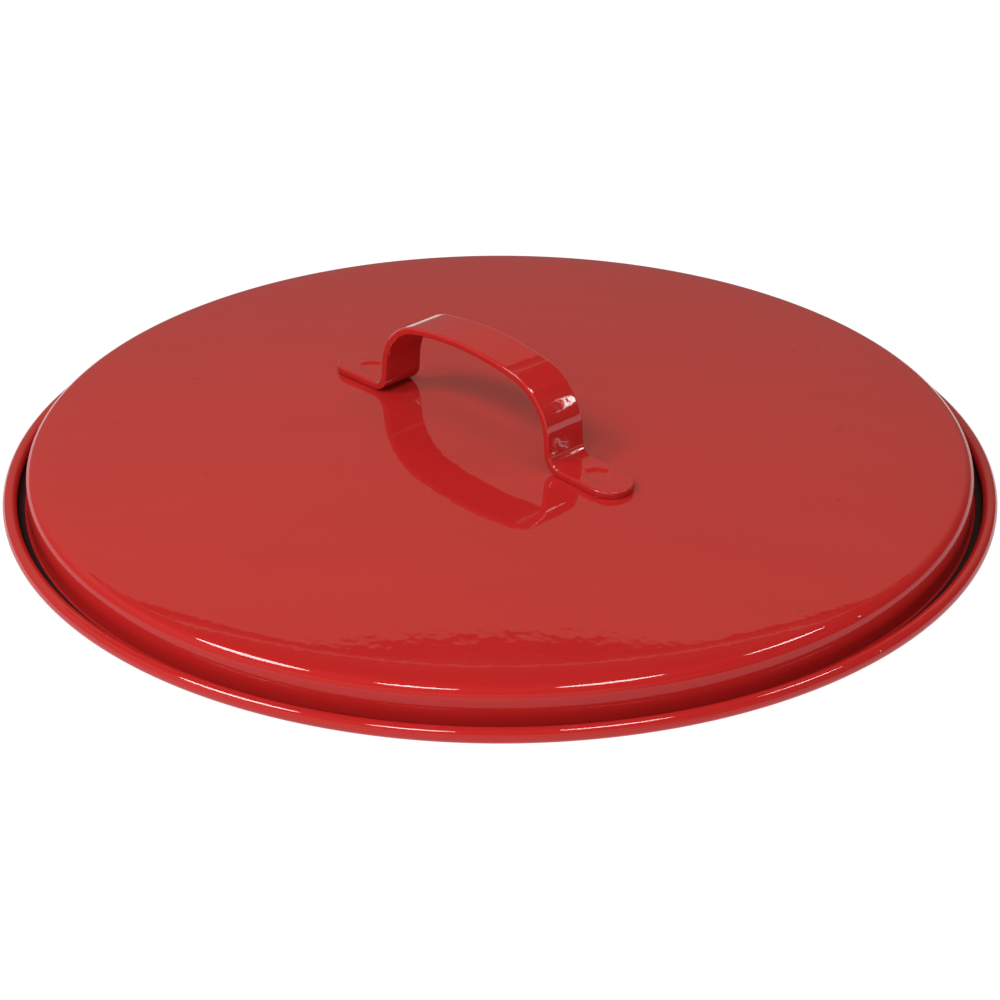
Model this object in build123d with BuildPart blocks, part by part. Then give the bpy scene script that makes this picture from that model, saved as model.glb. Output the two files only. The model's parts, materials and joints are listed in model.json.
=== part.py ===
from build123d import *
import math
import os

# Lift-off steel lid for a round waste can: a drawn pan with a crowned top, a short skirt and a
# curled rim, and a bent strap handle resistance-welded to it at both feet.
# Millimetres. +Z is up, the Z axis is the pan's axis, and z = 0 is the plane the rim rests on.
# The handle's length runs along X.

# Driving dimensions of the pan. Its profile is that of the sheet's lower (inner) surface.
rim_radius = 200.0  # outside of the curled rim
sheet = 0.8
skirt_bore = 189.3  # inside radius of the skirt, which goes over the can's mouth
curl_radius = 2.9  # outside radius of the curl
curl_turn = 305.0  # degrees of roll, which leaves a hairline slot above the flange
flange_bend = 2.0  # inside radius where the skirt turns out into the flange
shoulder_height = 12.1  # height where the skirt ends and the shoulder starts
shoulder_radius = 4.1
shoulder_slope = 8.5  # degrees from level where the shoulder runs into the border band
border_radius = 146.0  # gentle roll between the shoulder and the crown
crown_slope = 4.2  # degrees from level where the border band runs into the crown

# Driving dimensions of the handle, which is bent from flat bar
bar_width = 19.05
bar = 3.175
grip_radius = 145.0
grip_turn = 11.7  # degrees that each half of the grip turns down
knuckle_radius = 24.7
post_lean = 4.4  # degrees that each post leans from upright
post = 6.1  # straight length of a post
foot_bend = 5.0  # radius on the upper side, where a post turns out into its foot
foot = 19.0  # straight length of a foot, up to its round end
edge_round = 0.5
bedding = 0.06  # depth that the soles are pressed into the crown before they are cut to it
handle_shift = (-5.5, -5.8)  # the handle's middle stands off the pan's axis by this much

# Driving dimensions of the welds
weld_reach = 66.5  # from the handle's middle to each weld
nugget_radius = 3.0
nugget_in_sheet = 0.4
nugget_in_bar = 0.9
mark_radius = 5.6  # dished mark that the welding electrode leaves on the foot
mark_depth = 0.6
mark_cap = -60  # latitude that ends the ball below, clear of the posts
back_mark_radius = 5.0  # the same on the underside of the pan
back_mark_depth = 0.15

# Radii of the crown and heights that follow from the pan's driving dimensions
sin_shoulder = math.sin(math.radians(shoulder_slope))
cos_shoulder = math.cos(math.radians(shoulder_slope))
sin_crown = math.sin(math.radians(crown_slope))
cos_crown = math.cos(math.radians(crown_slope))
border_outer = skirt_bore - shoulder_radius + shoulder_radius * sin_shoulder
crown_edge = border_outer - border_radius * (sin_shoulder - sin_crown)
crown_radius = crown_edge / sin_crown
border_rise = border_radius * (cos_crown - cos_shoulder)
crown_rise = crown_radius * (1 - cos_crown)
crown_under = shoulder_height + shoulder_radius * cos_shoulder + border_rise + crown_rise
crown_top = crown_under + sheet


def crown_height(x, y):
    """Height of the crown's upper surface at a point near the middle."""
    outer = crown_radius + sheet
    return crown_top - outer + math.sqrt(outer**2 - x**2 - y**2)


def dish_radius(radius, depth):
    """Radius of the ball that leaves a dish of this radius and depth."""
    return (radius**2 + depth**2) / (2 * depth)


os.makedirs("parts", exist_ok=True)

# Weld nuggets: each is a disc of fused steel across the joint between a foot and the pan
weld_left_x = handle_shift[0] - weld_reach
weld_right_x = handle_shift[0] + weld_reach
weld_y = handle_shift[1]
nugget_height = nugget_in_sheet + nugget_in_bar
left_joint = crown_height(weld_left_x, weld_y)
right_joint = crown_height(weld_right_x, weld_y)

with BuildPart() as handle_weld_left:
    with BuildSketch(Plane((weld_left_x, weld_y, left_joint - nugget_in_sheet))):
        Circle(nugget_radius)
    extrude(amount=nugget_height)

with BuildPart() as handle_weld_right:
    with BuildSketch(Plane((weld_right_x, weld_y, right_joint - nugget_in_sheet))):
        Circle(nugget_radius)
    extrude(amount=nugget_height)

# The pan: one sheet turned about the Z axis, from the crown out to the curled rim. Its section is
# drawn twice, once along its lower surface and once along its upper one, and closed at both ends.
with BuildPart() as lid_pan:
    with BuildSketch(Plane.XZ):
        with BuildLine():
            ends = []
            for lift in (0, sheet):
                crown = JernArc((0, crown_under + lift), (1, 0), crown_radius + lift, -crown_slope)
                border = JernArc(crown @ 1, crown % 1, border_radius + lift, crown_slope - shoulder_slope)
                shoulder = JernArc(border @ 1, border % 1, shoulder_radius + lift, shoulder_slope - 90)
                skirt = Line(shoulder @ 1, (skirt_bore + lift, flange_bend))
                bend = JernArc(skirt @ 1, skirt % 1, flange_bend - lift, 90)
                flange = Line(bend @ 1, (rim_radius - curl_radius, lift))
                curl = JernArc(flange @ 1, flange % 1, curl_radius - lift, curl_turn)
                ends.append(curl @ 1)
            Line((0, crown_under), (0, crown_top))
            Line(ends[0], ends[1])
        make_face()
    revolve(axis=Axis.Z)
    back_dish = dish_radius(back_mark_radius, back_mark_depth)
    for x, joint in ((weld_left_x, left_joint), (weld_right_x, right_joint)):
        with Locations((x, weld_y, joint - sheet + back_mark_depth - back_dish)):
            Sphere(back_dish, mode=Mode.SUBTRACT)
    add(handle_weld_left.part, mode=Mode.SUBTRACT)
    add(handle_weld_right.part, mode=Mode.SUBTRACT)

# Half of the bar seen edge-on, with the top of the grip at the origin. It is drawn once along its
# upper surface and once along its lower one, from the middle of the grip to the end of a foot.
foot_slope = math.degrees(math.asin(weld_reach / (crown_radius + sheet)))
knuckle_turn = 90 - post_lean - grip_turn
toe_turn = 90 - post_lean - foot_slope

with BuildLine() as half_bar:
    ends = []
    for depth in (0, bar):
        grip = JernArc((0, -depth), (1, 0), grip_radius - depth, -grip_turn)
        knuckle = JernArc(grip @ 1, grip % 1, knuckle_radius - depth, -knuckle_turn)
        upright = PolarLine(knuckle @ 1, post, direction=knuckle % 1)
        toe = JernArc(upright @ 1, upright % 1, foot_bend + depth, toe_turn)
        sole = PolarLine(toe @ 1, foot + bar_width / 2, direction=toe % 1)
        ends.append(sole @ 1)
    Line((0, 0), (0, -bar))
    Line(ends[0], ends[1])

# The height that beds the soles on the crown at the welds: they are pressed in by a hair, and the
# pan is then cut out of them, so that they meet the curved crown all over
sole_drop = (sole @ 0).Y - (weld_reach - (sole @ 0).X) * math.tan(math.radians(foot_slope))
grip_top = crown_height(weld_reach, 0) - sole_drop - bedding
foot_reach = (sole @ 1).X
handle_plane = Plane((*handle_shift, grip_top), x_dir=(1, 0, 0), z_dir=(0, -1, 0))
mark_ball = dish_radius(mark_radius, mark_depth)
foot_top = crown_height(weld_reach, 0) + bar

with BuildPart() as handle:
    with BuildSketch(handle_plane):
        add(half_bar.line)
        make_face()
        mirror(about=Plane.YZ)
    extrude(amount=bar_width / 2, both=True)
    with BuildSketch(Plane((*handle_shift, 0))):
        SlotOverall(2 * foot_reach, bar_width)
    extrude(amount=grip_top + bar, mode=Mode.INTERSECT)
    sides = handle.faces().filter_by(Axis.Y)
    fillet(sides.edges(), edge_round)
    add(lid_pan.part, mode=Mode.SUBTRACT)
    for x in (weld_left_x, weld_right_x):
        with Locations((x, weld_y, foot_top - mark_depth + mark_ball)):
            Sphere(mark_ball, arc_size2=mark_cap, mode=Mode.SUBTRACT)
    add(handle_weld_left.part, mode=Mode.SUBTRACT)
    add(handle_weld_right.part, mode=Mode.SUBTRACT)

lid_pan.part.label = "lid_pan"
handle.part.label = "handle"
handle_weld_left.part.label = "handle_weld_left"
handle_weld_right.part.label = "handle_weld_right"
export_step(lid_pan.part, "parts/lid_pan.step")
export_step(handle.part, "parts/handle.step")
export_step(handle_weld_left.part, "parts/handle_weld_left.step")
export_step(handle_weld_right.part, "parts/handle_weld_right.step")
print("pan height", round(crown_top, 3), "crown radius", round(crown_radius, 1))
print("grip top", round(grip_top, 3), "handle length", round(2 * foot_reach, 2))
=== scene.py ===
import json
import math

import bmesh
import bpy
from mathutils import Matrix, Vector


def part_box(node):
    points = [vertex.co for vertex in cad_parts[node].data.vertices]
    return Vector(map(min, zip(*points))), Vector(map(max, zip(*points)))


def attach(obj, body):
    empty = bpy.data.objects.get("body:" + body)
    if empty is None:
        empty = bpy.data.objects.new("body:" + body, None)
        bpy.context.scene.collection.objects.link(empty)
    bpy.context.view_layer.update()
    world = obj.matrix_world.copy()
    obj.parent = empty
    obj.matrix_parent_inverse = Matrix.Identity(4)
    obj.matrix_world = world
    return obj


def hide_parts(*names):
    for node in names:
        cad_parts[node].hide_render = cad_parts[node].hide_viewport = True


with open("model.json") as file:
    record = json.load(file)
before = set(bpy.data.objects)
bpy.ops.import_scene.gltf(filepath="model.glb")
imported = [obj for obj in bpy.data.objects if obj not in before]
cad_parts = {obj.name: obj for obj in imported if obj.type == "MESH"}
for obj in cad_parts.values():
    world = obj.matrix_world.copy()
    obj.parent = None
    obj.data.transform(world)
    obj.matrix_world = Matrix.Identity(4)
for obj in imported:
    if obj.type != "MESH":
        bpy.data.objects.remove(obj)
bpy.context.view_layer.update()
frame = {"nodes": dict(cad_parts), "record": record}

# Sizes in metres, read from the frame where it has them
MM = 0.001
pan_low, pan_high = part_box("lid_pan")
handle_low, handle_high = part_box("handle")
weld_left_low, weld_left_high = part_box("handle_weld_left")
weld_right_low, weld_right_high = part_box("handle_weld_right")
rim_radius = pan_high.x
crown_top = pan_high.z
skirt_bore = frame["record"]["mounts"][0]["dims"]["r_mm"] * MM
grip_top = handle_high.z
bar_width = handle_high.y - handle_low.y
handle_middle = (handle_low + handle_high) / 2
weld_left = (weld_left_low + weld_left_high) / 2
weld_right = (weld_right_low + weld_right_high) / 2
weld_reach = (weld_right.x - weld_left.x) / 2

# The pan's sheet-metal profile
sheet = 0.8 * MM
curl_radius = 2.9 * MM
curl_turn = 305.0
flange_bend = 2.0 * MM
skirt_draft = 2.5
shoulder_radius = 4.1 * MM
shoulder_slope = 8.5
border_radius = 146.0 * MM
crown_slope = 4.2
pan_segments = 288

# Steps along each stretch of the pan's section
crown_steps = 84
border_steps = 12
shoulder_steps = 18
skirt_steps = 6
bend_steps = 10
flange_steps = 4
curl_steps = 44
# Steps of the flange bend that stay red; past them the channel takes painted shade
bend_steps_before_painted_shade = 6

# The handle's bent bar
bar = 3.175 * MM
grip_radius = 145.0 * MM
grip_turn = 11.7
knuckle_radius = 24.7 * MM
post_lean = 4.4
post = 6.1 * MM
foot_bend = 5.0 * MM
foot = 19.0 * MM
edge_round = 0.7 * MM

# Steps along and across the bar's surface
grip_steps = 36
knuckle_steps = 80
post_steps = 12
toe_steps = 18
foot_steps = 44
end_steps = 22
across_steps = 54
edge_steps = 6

# The electrode's dished marks
mark_radius = 5.6 * MM
mark_depth = 0.6 * MM
mark_lip = 0.08 * MM
back_mark_radius = 5.0 * MM
back_mark_depth = 0.15 * MM

# The enamel's coat: its weight at each share of the height from the ground up to gloss_span
gloss_span = 20 * MM
coat_weights = (
    (0.0, 0.55), (1.0, 1.0), (0.18, 0.55), (0.24, 1.0),
    (0.32, 1.0), (0.38, 0.5), (0.77, 0.5), (0.81, 1.0),
)
pan_wave = 0.025 * MM
handle_wave = 0.008 * MM
peel_height = 0.003 * MM
floor_half = 15.0
floor_drop = 0.05 * MM


def sine(degrees):
    return math.sin(math.radians(degrees))


def cosine(degrees):
    return math.cos(math.radians(degrees))


# Crown radius as the pan's other dimensions give it
border_outer = skirt_bore - shoulder_radius + shoulder_radius * sine(shoulder_slope)
crown_edge = border_outer - border_radius * (sine(shoulder_slope) - sine(crown_slope))
crown_radius = crown_edge / sine(crown_slope)


def crown_height(x, y):
    """Height of the crown's upper surface."""
    outer = crown_radius + sheet
    return crown_top - outer + math.sqrt(outer**2 - x**2 - y**2)


def turn_path(path, radius, turn, count):
    """Adds an arc to a path of (x, y, heading) stations. A positive turn goes left."""
    x, y, heading = path[-1]
    side = math.copysign(1.0, turn)
    centre_x = x - side * radius * sine(heading)
    centre_y = y + side * radius * cosine(heading)
    for step in range(1, count + 1):
        angle = heading + turn * step / count
        x = centre_x + side * radius * sine(angle)
        y = centre_y - side * radius * cosine(angle)
        path.append((x, y, angle))


def run_path(path, length, count):
    """Adds a straight run to a path of (x, y, heading) stations."""
    x, y, heading = path[-1]
    for step in range(1, count + 1):
        reach = length * step / count
        path.append((x + reach * cosine(heading), y + reach * sine(heading), heading))


def smooth_object(name, builder, sharp_angle=40.0):
    """A smooth-shaded object from a bmesh, with its sharp edges kept sharp."""
    mesh = bpy.data.meshes.new(name)
    bmesh.ops.recalc_face_normals(builder, faces=builder.faces)
    builder.to_mesh(mesh)
    builder.free()
    piece = bpy.data.objects.new(name, mesh)
    bpy.context.scene.collection.objects.link(piece)
    mesh.shade_smooth()
    mesh.set_sharp_from_angle(angle=math.radians(sharp_angle))
    return piece


def sheet_surface(lift):
    """One surface of the pan's sheet, as stations from the axis to the edge of the curl."""
    path = [(0.0, crown_top - sheet + lift, 0.0)]
    turn_path(path, crown_radius + lift, -crown_slope, crown_steps)
    turn_path(path, border_radius + lift, crown_slope - shoulder_slope, border_steps)
    turn_path(path, shoulder_radius + lift, shoulder_slope + skirt_draft - 90.0, shoulder_steps)
    bend_drop = (flange_bend - lift) * (1 - sine(skirt_draft))
    run_path(path, (path[-1][1] - lift - bend_drop) / cosine(skirt_draft), skirt_steps)
    turn_path(path, flange_bend - lift, 90.0 - skirt_draft, bend_steps)
    run_path(path, rim_radius - curl_radius - path[-1][0], flange_steps)
    turn_path(path, curl_radius - lift, curl_turn, curl_steps)
    return path


def back_mark_height(x, y):
    """Depth of an electrode's mark on the pan's underside at a point."""
    away = min(math.hypot(x - weld.x, y - weld.y) for weld in (weld_left, weld_right)) / back_mark_radius
    return back_mark_depth * (1 - away**2) if away < 1 else 0.0


def make_pan():
    """The pan: the closed section of the sheet, turned about the Z axis."""
    upper = sheet_surface(sheet)
    lower = sheet_surface(0.0)
    section = upper[1:] + lower[:0:-1]
    channel_start = crown_steps + border_steps + shoulder_steps + skirt_steps + bend_steps_before_painted_shade
    channel_end = channel_start + bend_steps - bend_steps_before_painted_shade + flange_steps + curl_steps
    builder = bmesh.new()
    top_pole = builder.verts.new((0, 0, upper[0][1]))
    low_pole = builder.verts.new((0, 0, lower[0][1]))
    rings = []
    for segment in range(pan_segments):
        angle = 2 * math.pi * segment / pan_segments
        across = math.cos(angle)
        along = math.sin(angle)
        ring = []
        for number, (r, z, _) in enumerate(section):
            mark = back_mark_height(r * across, r * along) if number >= len(upper) - 1 else 0.0
            ring.append(builder.verts.new((r * across, r * along, z + mark)))
        rings.append(ring)
    for ring, following in zip(rings, rings[1:] + rings[:1]):
        builder.faces.new((top_pole, ring[0], following[0]))
        builder.faces.new((low_pole, following[-1], ring[-1]))
        for i in range(len(section) - 1):
            face = builder.faces.new((ring[i], ring[i + 1], following[i + 1], following[i]))
            in_channel = channel_start <= i < channel_end
            # Faces in the channel take the second material: painted shade in near-black
            face.material_index = 1 if in_channel else 0
    return smooth_object("enamelled_pan", builder)


def bar_rows():
    """The bar's middle line as rows (x, z, heading, round), with the top of the grip at z = 0.
    round is 0 along the straight sides, and goes to 90 degrees at the tip of a round end."""
    half = bar / 2
    path = [(0.0, -half, 0.0)]
    foot_slope = math.degrees(math.asin(weld_reach / (crown_radius + sheet)))
    knuckle_turn = 90 - post_lean - grip_turn
    toe_turn = 90 - post_lean - foot_slope
    turn_path(path, grip_radius - half, -grip_turn, grip_steps)
    turn_path(path, knuckle_radius - half, -knuckle_turn, knuckle_steps)
    run_path(path, post, post_steps)
    turn_path(path, foot_bend + half, toe_turn, toe_steps)
    run_path(path, foot, foot_steps)
    right = [(x, z, heading, 0.0) for x, z, heading in path]
    tip_x, tip_z, tip_heading = path[-1]
    for step in range(1, end_steps + 1):
        right.append((tip_x, tip_z, tip_heading, 90.0 * step / end_steps))
    left = [(-x, z, -heading, -turn) for x, z, heading, turn in right[:0:-1]]
    return left + right


def mark_height(across, along):
    """Height of an electrode's mark at a point: a dished floor, a steep wall and a low lip."""
    angle = math.atan2(along, across)
    wobble = 1 + 0.05 * math.sin(3 * angle + 1.0) + 0.03 * math.sin(7 * angle)
    away = math.hypot(across, along) * wobble / mark_radius
    lip = mark_lip * math.exp(-(((away - 1.12) / 0.14) ** 2))
    if away >= 1:
        return lip
    wall = min(1.0, (1 - away) / 0.4)
    return lip - mark_depth * wall * wall * (3 - 2 * wall) * (1 - 0.3 * away**2)


def make_handle():
    """The handle: flat bar with rounded edges and full-radius ends, bent along its middle line.
    Its surface is a grid over the top, a grid over the underside, and rings around the edges."""
    rows = bar_rows()
    end_radius = bar_width / 2
    lift = grip_top
    builder = bmesh.new()

    def place(row, side, inset, depth):
        """A vertex at a share of the bar's half width, a height off its middle line."""
        x, z, heading, turn = row
        half_width = (end_radius - inset) * cosine(turn)
        past_end = (end_radius - inset) * sine(turn)
        px = x + past_end * cosine(heading) - depth * sine(heading)
        pz = z + past_end * sine(heading) + depth * cosine(heading)
        point = Vector((handle_middle.x + px, handle_middle.y + side * half_width, lift + pz))
        if depth > 0:
            for weld in (weld_left, weld_right):
                point.z += mark_height(point.x - weld.x, point.y - weld.y)
        return builder.verts.new(point)

    def cap(depth):
        """A grid of vertices over the top or the underside. A tip's row is one vertex."""
        grid = []
        for row in rows:
            if abs(row[3]) > 89.9:
                grid.append([place(row, 0.0, edge_round, depth)] * (across_steps + 1))
            else:
                steps = range(across_steps + 1)
                grid.append([place(row, 2.0 * j / across_steps - 1.0, edge_round, depth) for j in steps])
        return grid

    def rim(grid):
        """A cap's boundary, up one side and back down the other."""
        return [line[-1] for line in grid] + [line[0] for line in grid[-2:0:-1]]

    def edge_ring(inset, depth):
        """A ring of vertices around the edge, at one height."""
        outward = [place(row, 1.0, inset, depth) for row in rows]
        back = [place(row, -1.0, inset, depth) for row in rows[-2:0:-1]]
        return outward + back

    def fill(vertices):
        distinct = list(dict.fromkeys(vertices))
        builder.faces.new(distinct)

    top = cap(bar / 2)
    underside = cap(-bar / 2)
    rings = [rim(top)]
    for step in range(1, edge_steps + 1):
        angle = 90.0 - 90.0 * step / edge_steps
        inset = edge_round * (1 - cosine(angle))
        rings.append(edge_ring(inset, bar / 2 - edge_round + edge_round * sine(angle)))
    for step in range(edge_steps):
        angle = 90.0 * step / edge_steps
        inset = edge_round * (1 - cosine(angle))
        rings.append(edge_ring(inset, -bar / 2 + edge_round - edge_round * sine(angle)))
    rings.append(rim(underside))
    for grid in (top, underside):
        for line, following in zip(grid, grid[1:]):
            for j in range(across_steps):
                fill((line[j], line[j + 1], following[j + 1], following[j]))
    for ring, following in zip(rings, rings[1:]):
        for i in range(len(ring)):
            after = (i + 1) % len(ring)
            fill((ring[i], ring[after], following[after], following[i]))
    return smooth_object("strap_handle", builder, 60.0)


def new_material(name):
    """An empty node material: the material, its nodes, its links and its shader."""
    material = bpy.data.materials.new(name)
    material.use_nodes = True
    nodes = material.node_tree.nodes
    return material, nodes, material.node_tree.links, nodes["Principled BSDF"]


def noise_texture(nodes, links, place, scale, detail=2.0, roughness=0.5):
    """A noise texture over object space, scale in features per metre."""
    texture = nodes.new("ShaderNodeTexNoise")
    texture.inputs["Scale"].default_value = scale
    texture.inputs["Detail"].default_value = detail
    texture.inputs["Roughness"].default_value = roughness
    links.new(place.outputs["Object"], texture.inputs["Vector"])
    return texture


def set_stops(ramp, stops):
    """Sets a colour ramp's stops from (position, colour), its own two end stops first."""
    for number, (position, colour) in enumerate(stops):
        stop = ramp.elements[number] if number < 2 else ramp.elements.new(position)
        stop.position = position
        stop.color = (*colour, 1)


def map_range(nodes, links, value, span, result, interpolation="LINEAR"):
    """A node that maps a value's span onto a result's span."""
    node = nodes.new("ShaderNodeMapRange")
    node.interpolation_type = interpolation
    node.inputs["From Min"].default_value = span[0]
    node.inputs["From Max"].default_value = span[1]
    node.inputs["To Min"].default_value = result[0]
    node.inputs["To Max"].default_value = result[1]
    links.new(value, node.inputs["Value"])
    return node


def bump(nodes, links, height, distance, normal=None):
    """Adds bump from a height, on top of a normal where one is given."""
    node = nodes.new("ShaderNodeBump")
    node.inputs["Distance"].default_value = distance
    links.new(height, node.inputs["Height"])
    if normal is not None:
        links.new(normal, node.inputs["Normal"])
    return node.outputs["Normal"]


def enamel(name, base, shade, wave_height):
    """Glossy baked enamel over sheet steel: orange peel, slight shifts of shade and faint dark
    specks. The coat is full on the crown, the upper shoulder and the top of the rim, and weaker on the
    skirt and the rim's lower half, by height."""
    material, nodes, links, shader = new_material(name)
    place = nodes.new("ShaderNodeTexCoord")
    cloud = noise_texture(nodes, links, place, 14.0, 3.0)
    tint = nodes.new("ShaderNodeMix")
    tint.data_type = "RGBA"
    tint.inputs["A"].default_value = (*base, 1)
    tint.inputs["B"].default_value = (*shade, 1)
    links.new(cloud.outputs["Fac"], tint.inputs["Factor"])
    cells = nodes.new("ShaderNodeTexVoronoi")
    cells.inputs["Scale"].default_value = 32.0
    links.new(place.outputs["Object"], cells.inputs["Vector"])
    speck = map_range(nodes, links, cells.outputs["Distance"], (0.02, 0.06), (0.75, 1.0))
    speckled = nodes.new("ShaderNodeVectorMath")
    speckled.operation = "SCALE"
    links.new(tint.outputs["Result"], speckled.inputs[0])
    links.new(speck.outputs["Result"], speckled.inputs["Scale"])
    links.new(speckled.outputs["Vector"], shader.inputs["Base Color"])
    peel = noise_texture(nodes, links, place, 330.0, 1.0)
    wave = noise_texture(nodes, links, place, 200.0, 1.0)
    wave_normal = bump(nodes, links, wave.outputs["Fac"], wave_height)
    peel_normal = bump(nodes, links, peel.outputs["Fac"], peel_height, wave_normal)
    links.new(peel_normal, shader.inputs["Normal"])
    links.new(peel_normal, shader.inputs["Coat Normal"])
    shader.inputs["Roughness"].default_value = 0.4
    shader.inputs["Specular IOR Level"].default_value = 0.02
    height = nodes.new("ShaderNodeSeparateXYZ")
    links.new(place.outputs["Object"], height.inputs["Vector"])
    rise = nodes.new("ShaderNodeMath")
    rise.operation = "DIVIDE"
    rise.inputs[1].default_value = gloss_span
    links.new(height.outputs["Z"], rise.inputs[0])
    gloss = nodes.new("ShaderNodeValToRGB")
    set_stops(gloss.color_ramp, [(position, (value, value, value)) for position, value in coat_weights])
    links.new(rise.outputs["Value"], gloss.inputs["Fac"])
    links.new(gloss.outputs["Color"], shader.inputs["Coat Weight"])
    shader.inputs["Coat Roughness"].default_value = 0.03
    shader.inputs["Coat IOR"].default_value = 1.55
    return material


def channel_painted_shade():
    """Painted shade: dull near-black for the channel beside the rim, standing in for the shade deep in
    the narrow channel.
    """
    material, nodes, links, shader = new_material("channel_painted_shade")
    place = nodes.new("ShaderNodeTexCoord")
    mottle = noise_texture(nodes, links, place, 220.0, 4.0)
    # Painted shade: mottled near-black colour
    colour = nodes.new("ShaderNodeValToRGB")
    set_stops(colour.color_ramp, [(0.35, (0.020, 0.008, 0.008)), (0.8, (0.035, 0.009, 0.009))])
    links.new(mottle.outputs["Fac"], colour.inputs["Fac"])
    links.new(colour.outputs["Color"], shader.inputs["Base Color"])
    links.new(bump(nodes, links, mottle.outputs["Fac"], 0.1 * MM), shader.inputs["Normal"])
    shader.inputs["Roughness"].default_value = 0.7
    shader.inputs["Specular IOR Level"].default_value = 0.1
    return material


def weld_steel():
    """Bare fused steel of a spot-weld nugget: mottled grey with a pitted surface."""
    material, nodes, links, shader = new_material("weld_steel")
    place = nodes.new("ShaderNodeTexCoord")
    grain = noise_texture(nodes, links, place, 2500.0, 5.0)
    colour = nodes.new("ShaderNodeValToRGB")
    set_stops(colour.color_ramp, [(0.0, (0.10, 0.09, 0.085)), (1.0, (0.42, 0.41, 0.40))])
    links.new(grain.outputs["Fac"], colour.inputs["Fac"])
    links.new(colour.outputs["Color"], shader.inputs["Base Color"])
    links.new(bump(nodes, links, grain.outputs["Fac"], 0.05 * MM), shader.inputs["Normal"])
    shader.inputs["Metallic"].default_value = 1.0
    shader.inputs["Roughness"].default_value = 0.42
    return material


def floor_material():
    """A matt white ground that gives nearly all of its own light."""
    material, nodes, links, shader = new_material("pale_floor")
    shader.inputs["Base Color"].default_value = (0.12, 0.12, 0.12, 1)
    shader.inputs["Roughness"].default_value = 0.9
    shader.inputs["Specular IOR Level"].default_value = 0.1
    shader.inputs["Emission Color"].default_value = (1, 1, 1, 1)
    shader.inputs["Emission Strength"].default_value = 0.97
    return material


# Camera: it stands in front of the handle, off to its right foot's side, and looks down
view_turn = 46.55
view_rise = 27.75
view_distance = 1.2
lens = 106.3
lens_shift = -0.0289
rim_centre = Vector((0, 0, curl_radius))
view_right = Vector((cosine(view_turn), sine(view_turn), 0))
view_back = Vector((sine(view_turn), -cosine(view_turn), 0))


def make_camera():
    """The scene's camera, aimed at the middle of the rim."""
    camera = bpy.data.objects.new("camera", bpy.data.cameras.new("camera"))
    bpy.context.scene.collection.objects.link(camera)
    away = view_back * cosine(view_rise) + Vector((0, 0, sine(view_rise)))
    camera.location = rim_centre + away * view_distance
    camera.rotation_euler = (-away).to_track_quat("-Z", "Y").to_euler()
    camera.data.lens = lens
    camera.data.sensor_width = 36.0
    camera.data.shift_y = lens_shift
    bpy.context.scene.camera = camera


def view_point(right, back, up):
    """A point by its distances right of, towards and above the camera's view of the lid."""
    return rim_centre + view_right * right + view_back * back + Vector((0, 0, up))


def make_softbox(name, start, end, width, power, aim, spread=180.0):
    """A round-ended softbox from start to end, which faces the point it aims at."""
    middle = (start + end) / 2
    facing = (middle - aim).normalized()
    along = (end - start).normalized()
    along = (along - facing * along.dot(facing)).normalized()
    side = facing.cross(along)
    light = bpy.data.lights.new(name, "AREA")
    light.shape = "ELLIPSE"
    light.size = (end - start).length
    light.size_y = width
    light.energy = power
    light.spread = math.radians(spread)
    lamp = bpy.data.objects.new(name, light)
    bpy.context.scene.collection.objects.link(lamp)
    lamp.matrix_world = Matrix((
        (along.x, side.x, facing.x, middle.x),
        (along.y, side.y, facing.y, middle.y),
        (along.z, side.z, facing.z, middle.z),
        (0, 0, 0, 1),
    ))
    return lamp


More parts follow.
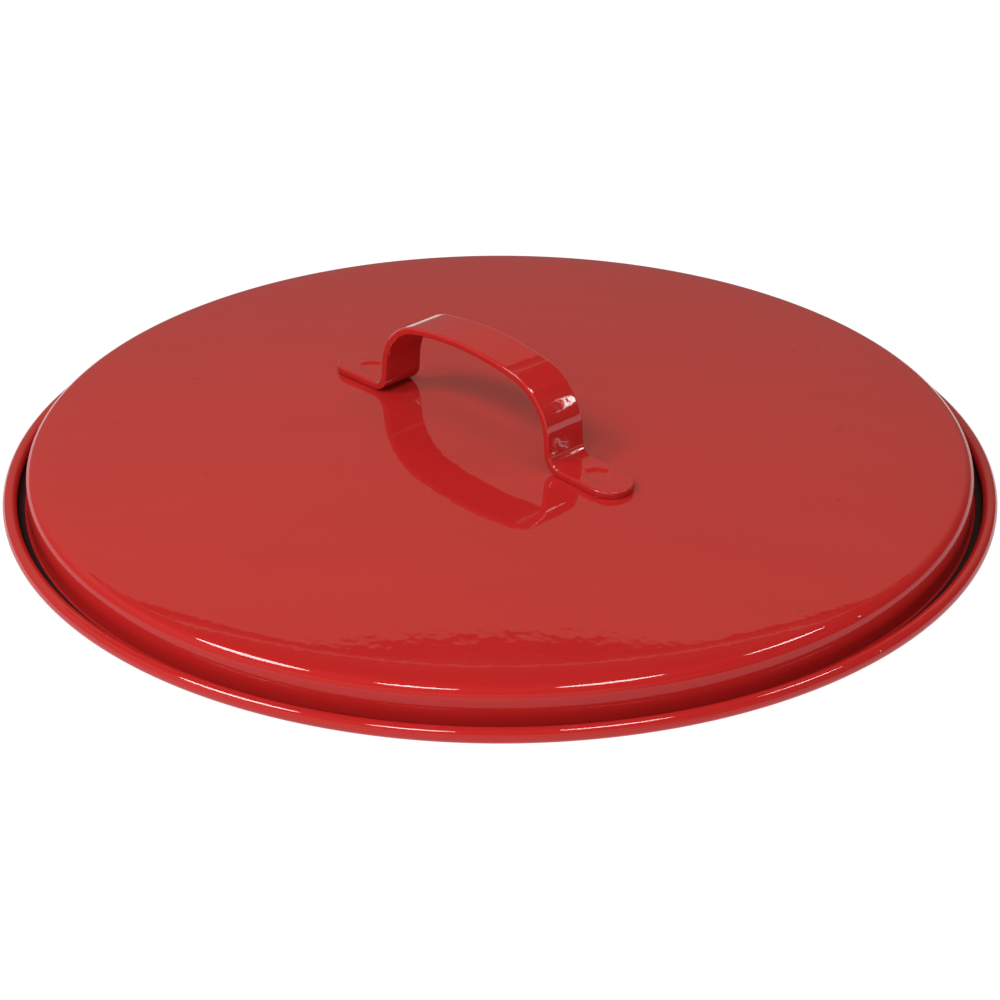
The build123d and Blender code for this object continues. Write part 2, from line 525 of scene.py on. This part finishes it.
def make_world():
    """A studio of walls that brighten up to about 38 degrees and are dim above, but for a thin
    bright line. They are brighter and reach less high behind the camera, and dimmer on its right."""
    world = bpy.data.worlds.new("studio")
    bpy.context.scene.world = world
    world.use_nodes = True
    nodes = world.node_tree.nodes
    links = world.node_tree.links
    place = nodes.new("ShaderNodeTexCoord")
    split = nodes.new("ShaderNodeSeparateXYZ")
    ramp = nodes.new("ShaderNodeValToRGB")
    links.new(place.outputs["Generated"], split.inputs["Vector"])
    walls = (
        (0.0, 0.18, 1.0), (1.0, 0.04, 0.72), (0.621, 0.39, 0.72), (0.623, 0.03, 0.72),
        (0.633, 0.03, 0.72), (0.640, 0.09, 0.72), (0.649, 0.11, 0.72), (0.6535, 0.52, 0.72),
        (0.656, 0.52, 0.72), (0.659, 0.09, 0.72), (0.69, 0.07, 0.72), (0.71, 0.04, 0.72),
    )
    set_stops(ramp.color_ramp, [(position, (v, v * 0.96, v * blue)) for position, v, blue in walls])
    facing = nodes.new("ShaderNodeVectorMath")
    facing.operation = "DOT_PRODUCT"
    facing.inputs[1].default_value = view_back
    links.new(place.outputs["Generated"], facing.inputs[0])
    gain = map_range(nodes, links, facing.outputs["Value"], (-0.3, 0.8), (1.0, 2.2), "SMOOTHSTEP")
    lower = map_range(nodes, links, facing.outputs["Value"], (0.0, 0.9), (0.0, 0.17))
    height = nodes.new("ShaderNodeMath")
    height.operation = "ADD"
    links.new(split.outputs["Z"], height.inputs[0])
    links.new(lower.outputs["Result"], height.inputs[1])
    links.new(height.outputs["Value"], ramp.inputs["Fac"])
    aside = nodes.new("ShaderNodeVectorMath")
    aside.operation = "DOT_PRODUCT"
    aside.inputs[1].default_value = view_right
    links.new(place.outputs["Generated"], aside.inputs[0])
    dim = map_range(nodes, links, aside.outputs["Value"], (0.25, 0.75), (1.0, 0.25), "SMOOTHSTEP")
    strength = nodes.new("ShaderNodeMath")
    strength.operation = "MULTIPLY"
    links.new(gain.outputs["Result"], strength.inputs[0])
    links.new(dim.outputs["Result"], strength.inputs[1])
    links.new(strength.outputs["Value"], nodes["Background"].inputs["Strength"])
    links.new(ramp.outputs["Color"], nodes["Background"].inputs["Color"])


def make_floor():
    """The ground, a hair under the rim."""
    builder = bmesh.new()
    bmesh.ops.create_grid(builder, x_segments=1, y_segments=1, size=floor_half)
    mesh = bpy.data.meshes.new("floor")
    builder.to_mesh(mesh)
    builder.free()
    floor = bpy.data.objects.new("floor", mesh)
    bpy.context.scene.collection.objects.link(floor)
    floor.location.z = -floor_drop
    mesh.materials.append(floor_material())


bpy.context.scene.view_settings.view_transform = "Standard"
make_camera()
make_world()
make_floor()
softboxes = (
    ("left_side", (-0.930, 0.100, 0.895), (-0.600, 0.355, 1.075), 0.36, 6.7),
    ("left_front", (-0.450, 0.625, 1.055), (-0.150, 0.670, 1.108), 0.20, 3.5),
    ("right_front", (0.200, 0.455, 1.174), (0.435, 0.125, 1.157), 0.22, 3.4),
    ("right_side", (0.590, -0.091, 1.068), (0.725, -0.281, 0.950), 0.16, 1.5),
)
for name, start, end, width, power in softboxes:
    make_softbox(name, view_point(*start), view_point(*end), width, power, rim_centre)

# A narrow lamp for the glint on the right knuckle, and a fill that shows in no reflection
knuckle_side = Vector((39.5, -0.3, 49.5)) * MM
make_softbox("knuckle_lamp", view_point(1.153, 0.153, 0.336), view_point(1.021, 0.013, 0.663), 0.007,
             0.0018, knuckle_side, 20.0)
fill = make_softbox("fill", view_point(-0.9, 1.0, 0.7), view_point(0.5, 1.1, 0.7), 0.7, 4.8, rim_centre)
fill.visible_glossy = False

red = (0.45, 0.0150, 0.0145)
deep_red = (0.42, 0.0135, 0.0130)
pan = make_pan()
pan.data.materials.append(enamel("red_enamel", red, deep_red, pan_wave))
# The second material is painted shade: near-black where the narrow channel lies in shade
pan.data.materials.append(channel_painted_shade())
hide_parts("lid_pan")
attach(pan, "root")

handle = make_handle()
handle.data.materials.append(enamel("handle_enamel", red, deep_red, handle_wave))
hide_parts("handle")
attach(handle, "root")

steel = weld_steel()
for name in ("handle_weld_left", "handle_weld_right"):
    nugget = frame["nodes"][name]
    nugget.data.materials.clear()
    nugget.data.materials.append(steel)
